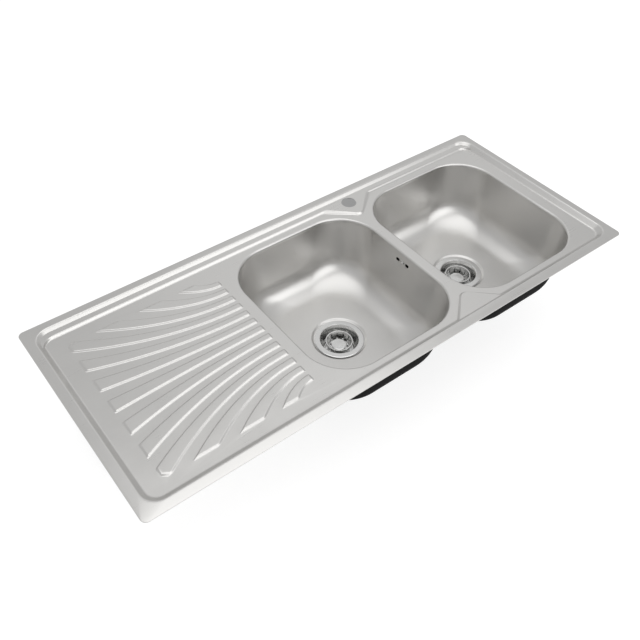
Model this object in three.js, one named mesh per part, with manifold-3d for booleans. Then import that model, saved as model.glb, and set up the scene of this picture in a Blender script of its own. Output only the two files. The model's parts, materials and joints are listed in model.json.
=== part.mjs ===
// Inset kitchen sink with two bowls and a drainer, as separate pieces.
// Millimetres. +X to the right, +Y to the back, +Z up.
// Z = 0 is the worktop that the rim rests on, and the origin is the middle of the rim.
import * as THREE from 'three';
import { mergeVertices } from 'three/addons/utils/BufferGeometryUtils.js';
import Module from 'manifold-3d';

const wasm = await Module();
wasm.setup();

// ---- Driving dimensions ----
const overallLength = 1200;
const overallWidth = 500;
const rimCornerRadius = 12;
const sheet = 0.9;

// Rim: rises from the worktop to a crest, then drops to the recessed deck.
const rimHeight = 4;
const crestInset = 18.5;
const crestCornerRadius = 34;
const recessInset = 33;
const recessCornerRadius = 22;
const deckDepth = 7;

// Tap ledge along the back and the two islands between the bowls.
const ledgeDepth = 2.2;
const ledgeWidth = 41.5;
const ledgeEndRadius = 30;
const islandNose = 157;
const islandNoseRadius = 17;
const islandHalfBase = 66;
const stepSlope = 5;
const hiddenInset = 25;
const tapHoleDiameter = 35;
const tapHoleInset = 49;

// Bowls.
const bowlLength = 343;
const bowlWidth = 390;
const bowlCornerRadius = 95;
const bowlDepth = 163;
const bowlTaperDegrees = 6;
const bowlFloorRadius = 60;
const bowlMouthRadius = 5;
const mouthCollar = 4;
const bowlsMidX = 178;
const bowlGap = 29;
const bowlY = -7;
const floorFall = 3;

// Drainer ribs: a fan that opens to the left.
const ribCount = 13;
const ribPitch = 25.9;
const ribWidth = 13.4;
const ribHeight = 2.6;
const ribSlope = 3.6;
const ribEndInset = 68;
const ribBowlGap = 28.5;
const ribFieldHalfWidth = 182;
const ribSpread = 1.25;
const ribOuterSpread = 1.42;
const ribStations = 8;

// Sound-deadening coat under the bowls.
const coatThickness = 1.6;
const coatGap = 0.1;
const coatTop = -22;

// Waste and basket strainer. Everything round in it follows from the hole in the bowl.
const wasteHoleDiameter = 90;
const flangeCover = 11;
const flangeThickness = 1;
const seatDrop = 3;
const throatClearance = 2.5;
const cupShoulder = 8;
const cupConeDepth = 17;
const cupDepth = 33;
const cupWall = 1;
const cupDrainHoles = 6;
const cupDrainHoleDiameter = 12;
const cupDrainCircle = 28;
const gasketThickness = 1;
const lowerGasketThickness = 2;
const basketClearance = 4;
const basketTop = 6;
const basketWall = 0.9;
const basketSlots = 12;
const basketSealThickness = 3.5;
const knobDiameter = 34;
const knobHeight = 12;
const bodyWall = 3;
const bodyClearance = 1.5;
const outletDiameter = 46;
const outletLength = 30;
const wasteScrewDiameter = 6;

// Overflow in the wall of the left bowl that faces the right bowl.
const overflowDrop = 24;
const overflowPitch = 14.5;
const overflowSlotLength = 11;
const overflowSlotHeight = 7.5;
const overflowScrewSlotHeight = 5;
const overflowPlateLength = 58;
const overflowPlateHeight = 27;
const overflowHousingDepth = 12;
const overflowGasketThickness = 1.5;
const overflowSpigotDiameter = 14;

// Fixing clips under the rim.
const clipLeftInset = 100;
const clipRightInset = 48;
const clipBowlGap = 35.5;
const clipLedgeX = 80;
const clipWidth = 22;
const clipPlate = 1.5;
const clipTab = 9;
const frontClipInset = 42;
const backClipInset = 29;
const clipLegDepth = 24;
const clipScrewOut = 8;
const clipFootOut = 14;
const clipScrewDiameter = 5;
const clawLength = 40;
const clawWidth = 13;
const clawThickness = 2;
const clawLipHeight = 4.5;
const worktopThickness = 40;

// Foam strip under the rim.
const sealInset = 6;
const sealWidth = 8;

const runningGap = 0.3;
const cornerSteps = 5;
const roundSegments = 20;

// ---- Derived places ----
const halfLength = overallLength / 2;
const halfWidth = overallWidth / 2;
const deckTop = -deckDepth;
const rollBottom = deckTop - bowlMouthRadius;
const mouthBottom = rollBottom - mouthCollar;
const bowlOffset = (bowlLength + bowlGap) / 2;
const bowlCentres = { left: bowlsMidX - bowlOffset, right: bowlsMidX + bowlOffset };
const bowlsLeft = bowlCentres.left - bowlLength / 2;
const fillTop = -bowlDepth + bowlFloorRadius;
const taper = Math.tan(THREE.MathUtils.degToRad(bowlTaperDegrees));
const seatTop = -bowlDepth - floorFall - seatDrop;
const flangeTop = seatTop + gasketThickness + flangeThickness;
const cupFloor = seatTop - cupDepth;
const ledgeFront = halfWidth - ledgeWidth;
const tapHoleY = halfWidth - tapHoleInset;
const ribFieldLeft = -halfLength + ribEndInset;
const ribFieldRight = bowlsLeft - ribBowlGap;
const flangeDiameter = wasteHoleDiameter + 2 * flangeCover;
const throatDiameter = wasteHoleDiameter - 2 * throatClearance;
const cupDiameter = throatDiameter - 2 * cupShoulder;
const basketDiameter = cupDiameter - 2 * basketClearance;
const basketFoot = basketDiameter / 2 - 4.5;
const clipLeftX = -halfLength + clipLeftInset;
const clipRightX = halfLength - clipRightInset;
const clipMiddleX = bowlsLeft - clipBowlGap;
const clipFrontX = [clipLeftX, clipMiddleX, bowlsMidX, clipRightX];
const clipBackX = [clipLeftX, clipMiddleX, clipLedgeX, clipRightX];

// ---- Materials ----
const metal = (color, roughness) => new THREE.MeshStandardMaterial({ color, roughness, metalness: 1 });
const plain = (color, roughness) => new THREE.MeshStandardMaterial({ color, roughness, metalness: 0 });

const sink = new THREE.Group();
sink.name = 'double_bowl_sink';

function addPiece(name, solidOrGeometry, material) {
  const isSolid = solidOrGeometry instanceof wasm.Manifold;
  const mesh = new THREE.Mesh(isSolid ? toGeometry(solidOrGeometry) : solidOrGeometry, material);
  mesh.name = name;
  sink.add(mesh);
  return mesh;
}

// ---- Solids ----
function toSolid(geometry) {
  const bare = geometry.clone();
  bare.deleteAttribute('normal');
  bare.deleteAttribute('uv');
  const welded = mergeVertices(bare, 1e-5);
  const triVerts = new Uint32Array(welded.index.array);
  const vertProperties = new Float32Array(welded.attributes.position.array);
  return new wasm.Manifold(new wasm.Mesh({ numProp: 3, vertProperties, triVerts }));
}

function toGeometry(solid) {
  const mesh = solid.getMesh();
  const geometry = new THREE.BufferGeometry();
  geometry.setAttribute('position', new THREE.BufferAttribute(mesh.vertProperties, 3));
  geometry.setIndex(new THREE.BufferAttribute(mesh.triVerts, 1));
  geometry.computeVertexNormals();
  return geometry;
}

// A skin over rings of points that all have the same number of points, counter-clockwise
// from above. An open stack of rings runs from its lower cap to its upper cap. A closed
// stack joins its last ring to its first, as the wall of a bowl does.
function loftRings(rings, closed = false) {
  const count = rings[0].length;
  const positions = rings.flat().flatMap((p) => [p.x, p.y, p.z]);
  const index = [];
  const bands = closed ? rings.length : rings.length - 1;
  for (let band = 0; band < bands; band += 1) {
    const low = band * count;
    const high = ((band + 1) % rings.length) * count;
    for (let i = 0; i < count; i += 1) {
      const next = (i + 1) % count;
      index.push(low + i, low + next, high + next);
      index.push(low + i, high + next, high + i);
    }
  }
  if (!closed) {
    const last = (rings.length - 1) * count;
    const flat = (ring) => ring.map((p) => new THREE.Vector2(p.x, p.y));
    for (const [a, b, c] of THREE.ShapeUtils.triangulateShape(flat(rings[0]), [])) index.push(a, c, b);
    for (const [a, b, c] of THREE.ShapeUtils.triangulateShape(flat(rings.at(-1)), [])) {
      index.push(last + a, last + b, last + c);
    }
  }
  const geometry = new THREE.BufferGeometry();
  geometry.setAttribute('position', new THREE.Float32BufferAttribute(positions, 3));
  geometry.setIndex(index);
  return geometry;
}

// A rectangle with round corners, as a ring at one height.
function roundedRing(halfX, halfY, radius, z, centreX = 0, centreY = 0) {
  const points = [];
  const corners = [[1, 1], [-1, 1], [-1, -1], [1, -1]];
  corners.forEach(([sideX, sideY], corner) => {
    const cx = centreX + sideX * (halfX - radius);
    const cy = centreY + sideY * (halfY - radius);
    for (let step = 0; step <= cornerSteps; step += 1) {
      const angle = (corner + step / cornerSteps) * Math.PI / 2;
      points.push(new THREE.Vector3(cx + radius * Math.cos(angle), cy + radius * Math.sin(angle), z));
    }
  });
  return points;
}

// A ring shaped like the rim, drawn in from its outer edge.
function rimRing(inset, z, radius) {
  return roundedRing(halfLength - inset, halfWidth - inset, radius, z);
}

// A solid with sloped sides, from an outline at its foot to an outline at its top.
function raisedSolid(foot, top, bottomZ, footZ, topZ) {
  const at = (outline, z) => {
    const ring = outline.map((p) => new THREE.Vector3(p.x, p.y, z));
    return THREE.ShapeUtils.isClockWise(outline) ? ring.reverse() : ring;
  };
  return toSolid(loftRings([at(foot, bottomZ), at(foot, footZ), at(top, topZ)]));
}

// A turned piece around an upright axis. The profile is [radius, z] pairs.
function turned(profile, centreX, centreY, segments = roundSegments) {
  const points = profile.map(([r, z]) => new THREE.Vector2(r, z));
  const geometry = new THREE.LatheGeometry(points, segments);
  geometry.rotateX(Math.PI / 2);
  geometry.translate(centreX, centreY, 0);
  return geometry;
}

function turnedSolid(profile, centreX, centreY, segments) {
  return toSolid(turned(profile, centreX, centreY, segments));
}

function box(width, depth, height, x, y, z) {
  return toSolid(new THREE.BoxGeometry(width, depth, height).translate(x, y, z));
}

function cylinder(radius, height, x, y, z, segments = 16) {
  const geometry = new THREE.CylinderGeometry(radius, radius, height, segments);
  return toSolid(geometry.rotateX(Math.PI / 2).translate(x, y, z));
}

// ---- Deck: rim, recess, tap ledge, islands, drainer ribs and bowl mouths ----

// Where the fan line that starts at offset s from the ribs' axis stands at x.
function fanY(s, x) {
  const u = (ribFieldRight - x) / (ribFieldRight - ribFieldLeft);
  const outer = Math.pow(Math.abs(s) / (ribFieldHalfWidth * 0.77), 8);
  return bowlY + s * (1 + u * u * (ribSpread + ribOuterSpread * outer));
}

// The end of a fan line: at the left of the rib field, or where it leaves the field's side.
function fanEnd(s, left, halfField, shift) {
  const beyond = (x) => Math.abs(fanY(s, x) + shift - bowlY) > halfField;
  if (!beyond(left)) return left;
  let inside = ribFieldRight;
  let outside = left;
  for (let i = 0; i < 30; i += 1) {
    const middle = (inside + outside) / 2;
    if (beyond(middle)) outside = middle;
    else inside = middle;
  }
  return inside;
}

// Outline of one rib, drawn in from its nominal edges by a margin.
function ribOutline(number, margin) {
  const axis = (number - (ribCount - 1) / 2) * ribPitch;
  const side = axis < 0 ? -1 : 1;
  const left = ribFieldLeft + margin;
  const right = ribFieldRight - margin;
  const half = ribFieldHalfWidth - margin;
  const edges = [-1, 1].map((edge) => {
    const s = axis + side * edge * ribWidth / 2;
    const shift = -side * edge * margin;
    const end = fanEnd(s, left, half, shift);
    const line = [];
    for (let i = 0; i < ribStations; i += 1) {
      const x = right + (end - right) * i / (ribStations - 1);
      line.push(new THREE.Vector2(x, fanY(s, x) + shift));
    }
    return line;
  });
  const [inner, outer] = edges;
  const innerEnd = inner.at(-1);
  const outerEnd = outer.at(-1);
  const turnsCorner = innerEnd.x < left + 0.01 && outerEnd.x > left + 0.01;
  const cap = turnsCorner
    ? new THREE.Vector2(left, outerEnd.y)
    : innerEnd.clone().add(outerEnd).multiplyScalar(0.5);
  return [...inner, cap, ...outer.reverse()];
}

// Outline of the tap ledge. Its front edge curves forward at both ends, and the back island
// stands out of it between the bowls.
function ledgeOutline(margin) {
  const front = ledgeFront + margin;
  const endX = halfLength - hiddenInset;
  const backY = halfWidth - hiddenInset;
  const radius = ledgeEndRadius + margin;
  const outline = [new THREE.Vector2(-endX, backY)];
  for (let step = 0; step <= 5; step += 1) {
    const angle = Math.PI - step / 5 * Math.PI / 2;
    const x = -endX + radius + radius * Math.cos(angle);
    outline.push(new THREE.Vector2(x, front - radius + radius * Math.sin(angle)));
  }
  outline.push(...islandSides(margin, front));
  for (let step = 0; step <= 5; step += 1) {
    const angle = Math.PI / 2 - step / 5 * Math.PI / 2;
    const x = endX - radius + radius * Math.cos(angle);
    outline.push(new THREE.Vector2(x, front - radius + radius * Math.sin(angle)));
  }
  outline.push(new THREE.Vector2(endX, backY));
  return outline;
}

// The free sides of the back island, from left to right, with a round nose that points forward.
function islandSides(margin, baseY) {
  const radius = islandNoseRadius - margin / 2;
  const half = islandHalfBase - margin * 2;
  const noseCentre = islandNose + margin + radius;
  const rise = baseY - noseCentre;
  const tangent = Math.atan2(rise, half) - Math.acos(radius / Math.hypot(half, rise));
  const points = [new THREE.Vector2(bowlsMidX - half, baseY)];
  const steps = 6;
  for (let step = 0; step <= steps; step += 1) {
    const angle = -Math.PI - tangent + (Math.PI + 2 * tangent) * step / steps;
    const x = bowlsMidX + radius * Math.cos(angle);
    points.push(new THREE.Vector2(x, noseCentre + radius * Math.sin(angle)));
  }
  points.push(new THREE.Vector2(bowlsMidX + half, baseY));
  return points;
}

// The front island is the back one mirrored across the bowls' axis, out to the front of the rim.
function frontIslandOutline(margin) {
  const baseY = 2 * bowlY + halfWidth - hiddenInset;
  return islandSides(margin, baseY).map((p) => new THREE.Vector2(p.x, 2 * bowlY - p.y));
}

// Everything under the deck's top surface, or under its lower surface when it is
// dropped by the sheet thickness.
function underSurface(drop) {
  const edge = drop;
  const inner = drop > 0 ? crestInset + 3 : crestInset + 3.5;
  const floor = -40 - drop;
  const foot = drop > 0 ? -1 : 0;
  const rings = [
    rimRing(inner, floor, crestCornerRadius),
    rimRing(inner, foot, crestCornerRadius),
    rimRing(edge, foot, rimCornerRadius - edge),
    rimRing(edge, 0.7 - drop * 0.6, rimCornerRadius - edge),
    rimRing(edge + 1, 1.7 - drop, rimCornerRadius - edge),
    rimRing(crestInset - 3, rimHeight - 0.2 - drop, crestCornerRadius),
    rimRing(crestInset, rimHeight - drop, crestCornerRadius),
    rimRing(crestInset + 2, rimHeight - 0.6 - drop, crestCornerRadius - 2),
    rimRing(recessInset - 2.5, deckTop + 0.8 - drop, recessCornerRadius + 2),
    rimRing(recessInset, deckTop - drop, recessCornerRadius),
  ];
  let solid = toSolid(loftRings(rings));
  const withinRim = toSolid(loftRings([
    rimRing(hiddenInset - 2, floor, crestCornerRadius),
    rimRing(hiddenInset - 2, rimHeight, crestCornerRadius),
  ]));
  const raise = (outline, slope, height) => {
    const foot = outline(-slope / 2);
    const top = outline(slope / 2);
    const lower = deckTop - 2 - drop;
    const feature = raisedSolid(foot, top, lower, deckTop - drop, deckTop + height - drop);
    solid = solid.add(feature.intersect(withinRim));
  };
  raise(ledgeOutline, stepSlope, deckDepth - ledgeDepth);
  raise(frontIslandOutline, stepSlope, deckDepth - ledgeDepth);
  for (let number = 0; number < ribCount; number += 1) {
    raise((margin) => ribOutline(number, margin), ribSlope, ribHeight);
  }
  for (const centreX of Object.values(bowlCentres)) solid = solid.subtract(mouthCut(centreX, drop));
  return solid;
}

// The hole for one bowl: a rounded edge over a straight collar, which the bowl is welded to.
// A dropped surface is cut wider by the sheet.
function mouthCut(centreX, drop) {
  const ring = (offset, z) => roundedRing(
    bowlLength / 2 + offset, bowlWidth / 2 + offset, bowlCornerRadius + offset, z, centreX, bowlY,
  );
  const rings = [ring(drop, -60), ring(drop, rollBottom)];
  const steps = 4;
  for (let step = 1; step <= steps; step += 1) {
    const angle = step / steps * Math.PI / 2;
    const radius = bowlMouthRadius - drop;
    rings.push(ring(
      bowlMouthRadius - radius * Math.cos(angle),
      rollBottom + radius * Math.sin(angle),
    ));
  }
  rings.push(ring(bowlMouthRadius, 20));
  return toSolid(loftRings(rings));
}

const steel = () => metal(0xc9cacc, 0.3);
const belowCollars = box(overallLength, overallWidth, 60, 0, 0, mouthBottom - 30);
const tapHole = cylinder(tapHoleDiameter / 2, 40, bowlsMidX, tapHoleY, 0, 32);
const deck = underSurface(0).subtract(underSurface(sheet)).subtract(belowCollars).subtract(tapHole);
addPiece('sink_deck', deck, steel());

// ---- Bowls and their coats ----

// Rings down one side of a bowl's wall, drawn out from the inner surface by an offset. The
// corner radius stays the same all the way down, so the floor is much rounder than the mouth.
function bowlRings(centreX, offset, top) {
  const ring = (inset, z) => roundedRing(
    bowlLength / 2 - inset, bowlWidth / 2 - inset, bowlCornerRadius + offset, z, centreX, bowlY,
  );
  const insetAt = (z) => (mouthBottom - z) * taper - offset;
  const rings = [ring(insetAt(top), top)];
  const wallInset = insetAt(fillTop);
  const steps = 4;
  for (let step = 0; step <= steps; step += 1) {
    const angle = step / steps * Math.PI / 2;
    const radius = bowlFloorRadius + offset;
    const inset = wallInset + radius * (1 - Math.cos(angle));
    rings.push(ring(inset, fillTop - radius * Math.sin(angle)));
  }
  return rings;
}

// A nearly round ring with the same number of points as a bowl's ring.
function wasteRing(centreX, radius, z) {
  return roundedRing(radius, radius, radius - 0.6, z, centreX, bowlY);
}

function bowlSolid(centreX) {
  const seat = flangeDiameter / 2 + 2;
  const down = (offset) => [
    ...bowlRings(centreX, offset, mouthBottom),
    wasteRing(centreX, seat + 4, -bowlDepth - floorFall - offset),
    wasteRing(centreX, seat, seatTop - offset),
    wasteRing(centreX, wasteHoleDiameter / 2, seatTop - offset),
  ];
  const inside = down(0);
  const outside = down(sheet);
  return toSolid(loftRings([...inside, ...outside.reverse()], true));
}

function coatSolid(centreX) {
  const edge = flangeDiameter / 2 + 9;
  const down = (offset) => [
    ...bowlRings(centreX, offset, coatTop),
    wasteRing(centreX, edge, -bowlDepth - floorFall - offset),
  ];
  const inside = down(sheet + coatGap);
  const outside = down(sheet + coatGap + coatThickness);
  return toSolid(loftRings([...inside, ...outside.reverse()], true));
}

// ---- Overflow, in the left bowl's right wall ----

// Pieces of the overflow are drawn with +Z out of the bowl, and turned to lie on the wall.
const overflowZ = deckTop - overflowDrop;
const overflowX = bowlCentres.left + bowlLength / 2 - (mouthBottom - overflowZ) * taper;
const overflowPlace = new THREE.Matrix4()
  .makeTranslation(overflowX, bowlY, overflowZ)
  .multiply(new THREE.Matrix4().makeRotationY(THREE.MathUtils.degToRad(90 + bowlTaperDegrees)));

function oblong(length, height, fromZ, toZ, curveSegments = 6) {
  const shape = new THREE.Shape();
  const straight = (length - height) / 2;
  shape.absarc(0, straight, height / 2, 0, Math.PI);
  shape.absarc(0, -straight, height / 2, Math.PI, Math.PI * 2);
  const geometry = new THREE.ExtrudeGeometry(shape, {
    depth: toZ - fromZ, bevelEnabled: false, curveSegments,
  });
  return geometry.translate(0, 0, fromZ);
}

function onWall(geometry) {
  return toSolid(geometry.applyMatrix4(overflowPlace));
}

const slotFrom = -3;
const slotTo = 4;
const overflowSlots = [-1, 0, 1].map((place) => {
  const height = place === 0 ? overflowScrewSlotHeight : overflowSlotHeight;
  const slot = oblong(overflowSlotLength, height, slotFrom, slotTo);
  return onWall(slot.translate(0, place * overflowPitch, 0));
});
const coatWindow = onWall(oblong(overflowPlateLength + 6, overflowPlateHeight + 6, slotFrom, slotTo, 4));

const bowlMaterial = () => metal(0xc4c5c7, 0.3);
const coatMaterial = () => plain(0x1a1a1b, 0.85);
let leftBowl = bowlSolid(bowlCentres.left);
for (const slot of overflowSlots) leftBowl = leftBowl.subtract(slot);
addPiece('left_bowl', leftBowl, bowlMaterial());
addPiece('right_bowl', bowlSolid(bowlCentres.right), bowlMaterial());
addPiece('left_bowl_coat', coatSolid(bowlCentres.left).subtract(coatWindow), coatMaterial());
addPiece('right_bowl_coat', coatSolid(bowlCentres.right), coatMaterial());

const gasketFrom = sheet + 0.05;
const housingFrom = gasketFrom + overflowGasketThickness;
const housingTo = housingFrom + overflowHousingDepth;
const innerLength = overflowPlateLength - 10;
const innerHeight = overflowPlateHeight - 10;
const plate = (length, height, fromZ, toZ) => onWall(oblong(length, height, fromZ, toZ, 4));
const overflowGasket = plate(overflowPlateLength, overflowPlateHeight, gasketFrom, housingFrom)
  .subtract(plate(innerLength, innerHeight, 0, housingFrom + 1));
addPiece('overflow_gasket', overflowGasket, plain(0x2a2a2b, 0.8));

const bossLength = housingTo - housingFrom - 2;
const upright = (radius, length) => new THREE.CylinderGeometry(radius, radius, length, 8)
  .rotateX(Math.PI / 2);
const spigotLength = 26;
const spigot = new THREE.CylinderGeometry(
  overflowSpigotDiameter / 2, overflowSpigotDiameter / 2, spigotLength, 12,
).rotateZ(Math.PI / 2);
const spigotBore = new THREE.CylinderGeometry(
  overflowSpigotDiameter / 2 - 2, overflowSpigotDiameter / 2 - 2, spigotLength + 4, 12,
).rotateZ(Math.PI / 2);
const spigotX = overflowPlateHeight / 2 + spigotLength / 2 - 4;
const spigotZ = sheet + coatGap + coatThickness + 0.9 + overflowSpigotDiameter / 2;
const spigotY = -overflowPitch;
let housing = plate(overflowPlateLength, overflowPlateHeight, housingFrom, housingFrom + 2.5)
  .add(plate(overflowPlateLength - 6, overflowPlateHeight - 6, housingFrom, housingTo))
  .subtract(plate(innerLength, innerHeight, housingFrom - 1, housingTo - 2))
  .add(onWall(spigot.translate(spigotX, spigotY, spigotZ)))
  .subtract(onWall(spigotBore.translate(spigotX + 4, spigotY, spigotZ)))
  .add(onWall(upright(4, bossLength).translate(0, 0, housingTo - bossLength / 2)))
  .subtract(onWall(upright(2.2, bossLength).translate(0, 0, housingTo - bossLength / 2 - 2)));
const aboveHousing = plate(innerLength, innerHeight, housingFrom - 1, housingTo - 2)
  .subtract(onWall(upright(4, 40)));
housing = housing.subtract(aboveHousing);
addPiece('overflow_housing', housing, plain(0x2d2d2e, 0.5));

const overflowScrew = turned([
  [0, -2.2], [2.4, -2], [4, -1], [4.2, -0.05], [1.9, -0.05], [1.9, housingTo - 4], [0, housingTo - 4],
], 0, 0, 10);
addPiece('overflow_screw', onWall(overflowScrew), metal(0xc6c7c9, 0.25));

// ---- Wastes ----
function ring(innerRadius, outerRadius, lowZ, highZ, centreX) {
  return turned([
    [innerRadius, lowZ], [outerRadius, lowZ], [outerRadius, highZ], [innerRadius, highZ],
    [innerRadius, lowZ],
  ], centreX, bowlY);
}

// The strainer cup: a flange that lies in the bowl's seat, a cone and a perforated floor.
function cupSolid(centreX) {
  const throat = throatDiameter / 2;
  const cup = cupDiameter / 2;
  const coneBottom = seatTop - cupConeDepth;
  const under = seatTop + gasketThickness;
  const profile = [
    [0, cupFloor], [cup - 3, cupFloor], [cup, cupFloor + 3], [cup, coneBottom], [throat - 2, seatTop - 3],
    [throat, seatTop], [throat + 2, flangeTop], [flangeDiameter / 2 - 1, flangeTop],
    [flangeDiameter / 2, under], [throat + 2.5, under], [throat - 1, seatTop - 4],
    [cup + cupWall, coneBottom - 0.3],
    [cup + cupWall, cupFloor + 2.6], [cup - 2.6, cupFloor - cupWall - 0.2], [0, cupFloor - cupWall - 0.2],
  ];
  let solid = turnedSolid(profile.reverse(), centreX, bowlY);
  solid = solid.subtract(cylinder(wasteScrewDiameter / 2 + runningGap, 8, centreX, bowlY, cupFloor));
  for (let hole = 0; hole < cupDrainHoles; hole += 1) {
    const angle = hole / cupDrainHoles * Math.PI * 2;
    const x = centreX + cupDrainCircle / 2 * Math.cos(angle);
    const y = bowlY + cupDrainCircle / 2 * Math.sin(angle);
    solid = solid.subtract(cylinder(cupDrainHoleDiameter / 2, 8, x, y, cupFloor, 8));
  }
  return solid;
}

// The plastic body under the bowl, with the boss that takes the clamping screw.
const lowerGasketTop = seatTop - sheet;
const bodyTop = lowerGasketTop - lowerGasketThickness;
const bodyFloor = cupFloor - 8;
const outletTop = bodyFloor - 18;
const outletEnd = outletTop - outletLength;
const bodyInner = throatDiameter / 2 + cupWall + bodyClearance;

function wasteBodySolid(centreX, withSpigot) {
  const bore = outletDiameter / 2 - bodyWall;
  const profile = [
    [bodyInner, bodyTop], [bodyInner, bodyFloor], [bore, outletTop], [bore, outletEnd],
    [outletDiameter / 2, outletEnd], [outletDiameter / 2, outletTop - 2],
    [bodyInner + bodyWall, bodyFloor - 1], [bodyInner + bodyWall, bodyTop - 8],
    [flangeDiameter / 2 + 2, bodyTop - 4], [flangeDiameter / 2 + 2, bodyTop], [bodyInner, bodyTop],
  ];
  let solid = turnedSolid(profile, centreX, bowlY);
  const bossTop = cupFloor - cupWall - 0.5;
  const bossHeight = 20;
  const bossZ = bossTop - bossHeight / 2;
  const spokeHeight = 5;
  const spokeLength = 2 * bodyInner + bodyWall;
  const spokeZ = bossTop - 1 - spokeHeight / 2;
  solid = solid.add(box(spokeLength, 3, spokeHeight, centreX, bowlY, spokeZ));
  solid = solid.add(box(3, spokeLength, spokeHeight, centreX, bowlY, spokeZ));
  solid = solid.add(cylinder(6.5, bossHeight, centreX, bowlY, bossZ));
  const screwHole = wasteScrewDiameter / 2 + runningGap;
  solid = solid.subtract(cylinder(screwHole, bossHeight, centreX, bowlY, bossZ + 2));
  if (withSpigot) {
    const length = 24;
    const x = centreX + bodyInner + length / 2;
    const z = (bodyTop + bodyFloor) / 2 - 2;
    const tube = (radius, extra) => toSolid(
      new THREE.CylinderGeometry(radius, radius, length + extra, 12)
        .rotateZ(Math.PI / 2).translate(x + extra / 2, bowlY, z),
    );
    solid = solid.add(tube(overflowSpigotDiameter / 2, 0));
    const bored = tube(overflowSpigotDiameter / 2 - 2, 12);
    solid = solid.subtract(bored.translate([-6, 0, 0]));
  }
  return solid;
}

// The basket that lifts out: a rolled lip, a slotted wall and a perforated floor.
const basketRim = seatTop - basketTop + 2;
const basketSealFrom = cupFloor + runningGap;
const basketFloor = basketSealFrom + basketSealThickness;

function basketSolid(centreX) {
  const lip = basketDiameter / 2;
  const wall = lip - 2.2;
  const foot = basketFoot;
  const floorTop = basketFloor + basketWall;
  const profile = [
    [0, basketFloor], [foot - 2, basketFloor], [foot, basketFloor + 2], [wall, basketRim - 2.5],
    [lip, basketRim - 1.2], [lip, basketRim], [wall, basketRim], [wall - basketWall, basketRim - 1],
    [foot - basketWall, floorTop + 1.6], [foot - 2.2, floorTop], [0, floorTop],
  ];
  let solid = turnedSolid(profile, centreX, bowlY);
  const slotHeight = basketRim - basketFloor - 9;
  const slotZ = basketFloor + 4 + slotHeight / 2;
  for (let slot = 0; slot < basketSlots; slot += 1) {
    const cut = new THREE.BoxGeometry(10, 3, slotHeight).translate(wall, 0, 0);
    cut.rotateZ(slot / basketSlots * Math.PI * 2).translate(centreX, bowlY, slotZ);
    solid = solid.subtract(toSolid(cut));
  }
  const floorHoles = 8;
  for (let hole = 0; hole < floorHoles; hole += 1) {
    const angle = (hole + 0.5) / floorHoles * Math.PI * 2;
    const x = centreX + (basketFoot - 5.5) * Math.cos(angle);
    const y = bowlY + (basketFoot - 5.5) * Math.sin(angle);
    solid = solid.subtract(cylinder(2.2, 6, x, y, basketFloor, 6));
  }
  return solid;
}

function addWaste(side, centreX) {
  const hole = wasteHoleDiameter / 2;
  const steelBright = () => metal(0xd6d7d9, 0.16);
  const under = seatTop + gasketThickness;
  addPiece(`${side}_flange_gasket`, ring(hole + 1, flangeDiameter / 2 - 2, seatTop, under, centreX),
    plain(0x2b2b2c, 0.8));
  addPiece(`${side}_strainer_cup`, cupSolid(centreX), steelBright());
  addPiece(`${side}_lower_gasket`,
    ring(hole + 2, flangeDiameter / 2 + 1, bodyTop, lowerGasketTop, centreX), plain(0x2b2b2c, 0.8));
  addPiece(`${side}_waste_body`, wasteBodySolid(centreX, side === 'left'), plain(0xe9e9e7, 0.5));

  const shank = wasteScrewDiameter / 2;
  const screwEnd = cupFloor - 17;
  addPiece(`${side}_waste_screw`, turned([
    [0, screwEnd], [shank - 0.8, screwEnd], [shank, screwEnd + 1], [shank, cupFloor],
    [6, cupFloor], [6, cupFloor + 1.2], [4.4, cupFloor + 2.6], [0, cupFloor + 2.8],
  ], centreX, bowlY, 10), metal(0xc8c9cb, 0.25));

  addPiece(`${side}_basket`, basketSolid(centreX), steelBright());
  addPiece(`${side}_basket_seal`,
    ring(8, basketFoot - 2, basketSealFrom, basketFloor, centreX), plain(0x202021, 0.75));

  const knobFoot = basketFloor + basketWall;
  const knob = knobDiameter / 2;
  addPiece(`${side}_basket_knob`, turned([
    [0, knobFoot], [6, knobFoot], [4.5, knobFoot + 2], [4.5, knobFoot + knobHeight - 4],
    [knob - 2, knobFoot + knobHeight - 3], [knob, knobFoot + knobHeight - 1.6],
    [knob - 1.5, knobFoot + knobHeight], [knob * 0.5, knobFoot + knobHeight + 1],
    [0, knobFoot + knobHeight + 1.3],
  ], centreX, bowlY, 16), steelBright());
}

addWaste('left', bowlCentres.left);
addWaste('right', bowlCentres.right);

// ---- Foam strip under the rim ----
const sealTop = (inset) => rimUnderside(inset) - 0.15;

// Height of the rim's lower surface at an inset between its edge and its crest.
function rimUnderside(inset) {
  const low = 1.7 - sheet;
  const high = rimHeight - 0.2 - sheet;
  return low + (high - low) * (inset - sheet - 1) / (crestInset - 3 - sheet - 1);
}

const sealOut = sealInset;
const sealIn = sealInset + sealWidth;
const sealCorner = (inset) => rimCornerRadius
  + (crestCornerRadius - rimCornerRadius) * inset / (crestInset - 3);
addPiece('rim_seal', toSolid(loftRings([
  rimRing(sealOut, 0, sealCorner(sealOut)),
  rimRing(sealOut, sealTop(sealOut), sealCorner(sealOut)),
  rimRing(sealIn, sealTop(sealIn), sealCorner(sealIn)),
  rimRing(sealIn, 0, sealCorner(sealIn)),
], true)), plain(0x3a3a3b, 0.9));

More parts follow.
